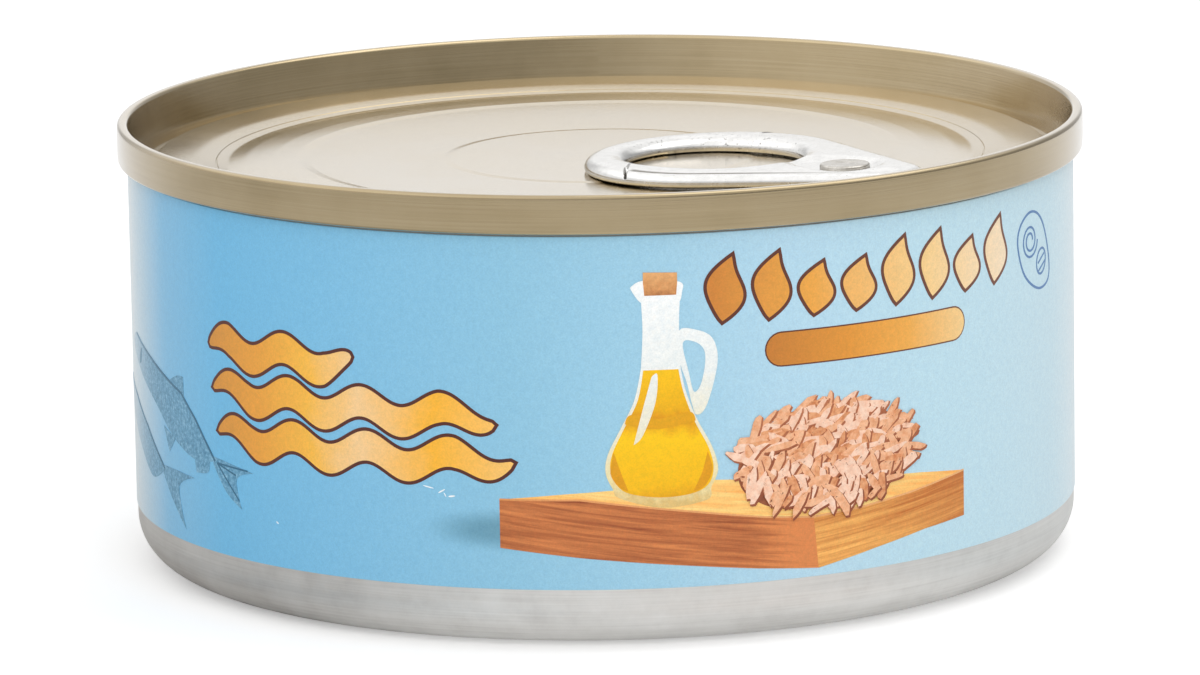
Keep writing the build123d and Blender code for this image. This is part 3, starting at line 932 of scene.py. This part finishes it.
def build_heap():
    """Heap of cooked flakes on the board: small ragged shapes in seeded order, over dark gaps."""
    chance = random.Random(7)
    gaps = ramped_print("print_gaps", [(10, (140, 72, 44)), (22, (186, 112, 74))], "up", (1.2, 1.2), 1.4)
    heap = smooth([(11.4, 15.6), (11.6, 13.6), (13.2, 12.2), (15.2, 11.5), (18, 11.3), (21, 11.5),
                   (24, 11.9), (26.4, 12.7), (28, 14.0), (28.2, 15.6), (27.2, 17.4), (25.6, 18.8),
                   (23.2, 19.8), (21, 20.3), (18.6, 20.4), (16.3, 19.8), (14, 18.8), (12.4, 17.4)], 4)
    tones = {"pale": ((240, 182, 148), (253, 216, 192)), "peach": ((226, 152, 104), (246, 190, 150)),
             "tan": ((200, 116, 66), (236, 170, 122))}
    flakes = {tone: [] for tone in tones}
    shades = []
    spots = []
    while len(spots) < FLAKES:
        u, z = chance.uniform(10.6, 29.4), chance.uniform(10.8, 21.4)
        reach = hypot((u - 19.9) / 8.5, (z - 15.9) / 4.5)
        if reach < 1 and all((u - a) ** 2 + (z - b) ** 2 > 0.3 for a, b in spots):
            spots.append((u, z))
    spots.sort(key=lambda spot: -spot[1])
    for k, (u, z) in enumerate(spots):
        lean = chance.gauss(0.45, 0.55) if z > 14.5 else chance.gauss(1.2, 0.6)
        length, width = chance.uniform(0.7, 1.75), chance.uniform(0.25, 0.5)
        corners = []
        for j in range(10):
            turn = 2 * pi * (j + chance.uniform(-0.25, 0.25)) / 10
            reach = chance.uniform(0.75, 1.12)
            x = length * reach * copysign(abs(cos(turn)) ** 0.7, cos(turn))
            y = width * reach * sin(turn)
            corners.append(Vector((u + x * cos(lean) - y * sin(lean), z + x * sin(lean) + y * cos(lean))))
        level = 0.03 + 0.0008 * k
        tone = chance.choices(list(tones), (5, 4, 2))[0]
        flakes[tone].append(([corners], level))
        shades.append(([[p + Vector((0.10, -0.14)) for p in widened(corners, 0.05)]], level - 0.0004))
    printed("print_heap_base", [[heap]], gaps, 0.02)
    printed("print_heap_shades", shades, gaps, grid=0.5)
    for tone, (dark, light) in tones.items():
        printed("print_flakes_" + tone, flakes[tone], flake_print(tone, dark, light), grid=0.5)


def build_scuffs():
    """Small scuffs in the print that show white."""
    white = ramped_print("print_scuff", [(-18, (240, 246, 250)), (-17, (250, 252, 252))],
                         "along", (1, 1), 0.2)
    marks = [((-15.4, 13.9), 0.5, 0.05, -12), ((-14.2, 13.6), 0.35, 0.06, 30), ((-13.3, 13.2), 0.3, 0.07, 8),
             ((-13.9, 13.3), 0.2, 0.04, -60), ((-31.0, 9.2), 0.16, 0.06, -30)]
    printed("label_scuffs",
            [[oval(place, long, short, lean, 12)] for place, long, short, lean in marks], white)


# ------ studio

def build_floor():
    """Pale floor that keeps the can's shadow and joins the white background; as seen in reflections, it also
    holds a painted shadow and a painted glow near the can.
    """
    bm = bmesh.new()
    bmesh.ops.create_circle(bm, cap_ends=True, segments=64, radius=6)
    mesh = bpy.data.meshes.new("floor")
    bm.to_mesh(mesh)
    bm.free()
    ground = linked("floor", mesh)
    ground.location.z = -0.0002
    tree = Shader("floor", Roughness=0.9)
    grain = tree.noise(tree.position, 0.02, 2)
    seen = tree.add("LightPath").outputs
    across, away, _ = tree.axes(tree.position)
    colour = tree.ramp(grain, [(0.3, srgb(238, 238, 238)), (0.7, srgb(242, 242, 242))])
    # Painted shadow: seen in reflections only, the floor near the can is darkened on the left.
    near = tree.times(seen["Is Glossy Ray"], tree.fade(tree.length(across, away), 75, 120, 1.0, 0.0))
    left = tree.times(near, tree.fade(across, -45, -12, 0.4, 0.0))
    tree.finish(Base_Color=tree.blend(left, colour, srgb(150, 138, 126)))
    tree.surface.inputs["Specular IOR Level"].default_value = 0.0
    # Painted light: seen in reflections only, the floor near the can glows in the middle.
    centre = tree.times(tree.fade(across, -35, -5), tree.fade(across, 26, 46, 0.55, 0.0))
    behind = tree.times(seen["Is Glossy Ray"], tree.fade(away, 20, 200, 0.0, 0.4))
    bright = tree.math("MAXIMUM", behind, tree.times(near, centre))
    shown = tree.math("MAXIMUM", seen["Is Camera Ray"], bright)
    tree.feed(tree.surface.inputs["Emission Color"], srgb(255, 255, 255))
    tree.feed(tree.surface.inputs["Emission Strength"], tree.times(shown, FLOOR_LIFT))
    mesh.materials.append(tree.material)


def build_world():
    """Studio: white behind the can, a soft bright ceiling and a dimmer room on the camera's side."""
    world = bpy.data.worlds.new("studio")
    world.use_nodes = True
    scene.world = world
    tree = Nodes(world.node_tree)
    x, y, z = tree.axes(tree.add("TexCoord").outputs["Generated"])
    seen = tree.add("LightPath").outputs
    back = tree.fade(y, 0.78, 0.95)
    aside = tree.plus(tree.fade(x, 0.12, 0.36, 0.0, SIDE_DIM), tree.fade(x, -0.36, -0.12, SIDE_DIM, 0.0))
    white = tree.minus(1.02, aside)
    plain = tree.plus(tree.mix(back, tree.fade(x, -0.9, 0.7, ROOM_LEFT, ROOM_RIGHT), white),
                      tree.fade(z, 0.3, 0.9, 0.0, CEILING))
    gloss = tree.plus(tree.mix(back, tree.fade(x, -0.9, 0.5, GLOSS_LEFT, GLOSS_RIGHT), white),
                      tree.fade(z, 0.3, 0.6, 0.0, GLOSS_CEILING))
    room = tree.mix(seen["Is Glossy Ray"], plain, gloss)
    background = tree.nodes["Background"]
    background.inputs["Color"].default_value = (1, 1, 1, 1)
    tree.feed(background.inputs["Strength"], tree.mix(seen["Is Camera Ray"], room, 1.0))


def add_light(name, place, target, width, height, power, in_gloss=True):
    data = bpy.data.lights.new(name, "AREA")
    data.shape = "RECTANGLE"
    data.size = width
    data.size_y = height
    data.energy = power
    lamp = linked(name, data)
    lamp.location = place
    lamp.rotation_euler = (Vector(target) - Vector(place)).to_track_quat("-Z", "Y").to_euler()
    lamp.visible_glossy = in_gloss


def add_camera():
    """Camera at the photograph's angle: a long lens, a little above the rim and leaning slightly."""
    data = bpy.data.cameras.new("camera")
    data.lens = 236.05
    data.sensor_width = 36
    data.clip_start = 0.01
    data.clip_end = 50
    camera = linked("camera", data)
    forward = Vector((-0.000426, 0.980723, -0.195405)).normalized()
    right = forward.cross(Vector((0, 0, 1))).normalized()
    roll = Matrix.Rotation(radians(-0.986), 3, -forward)
    right = roll @ right
    up = right.cross(forward)
    turned = Matrix((right, up, -forward)).transposed().to_4x4()
    camera.matrix_world = Matrix.Translation((0, -0.691669, 0.156535)) @ turned
    scene.camera = camera


scene.view_settings.view_transform = "Standard"
add_camera()
build_world()
build_floor()
add_light("softbox_above", (0.35, 0.1, 0.8), (0, 0, 0.03), 0.7, 0.7, 1.8)
add_light("front_fill", (0.1, -1.0, 0.5), (0, 0, 0.02), 1.2, 0.8, 4.6, in_gloss=False)

paper = label_paper()
lacquer = end_finish()
build_body(steel_finish())
build_label(paper)
build_end(lacquer)
# The tab's second material is painted shade for its slits.
build_tab(tab_finish("tab_aluminium", (224, 223, 221), (238, 237, 235)),
          tab_finish("tab_creases", (120, 116, 110), (158, 154, 148)))
build_rivet(tab_finish("rubbed_rivet", (168, 162, 152), (208, 204, 197)))
build_fish()
build_board()
build_bottle()
build_heap()
build_words()
build_icon()
build_scuffs()
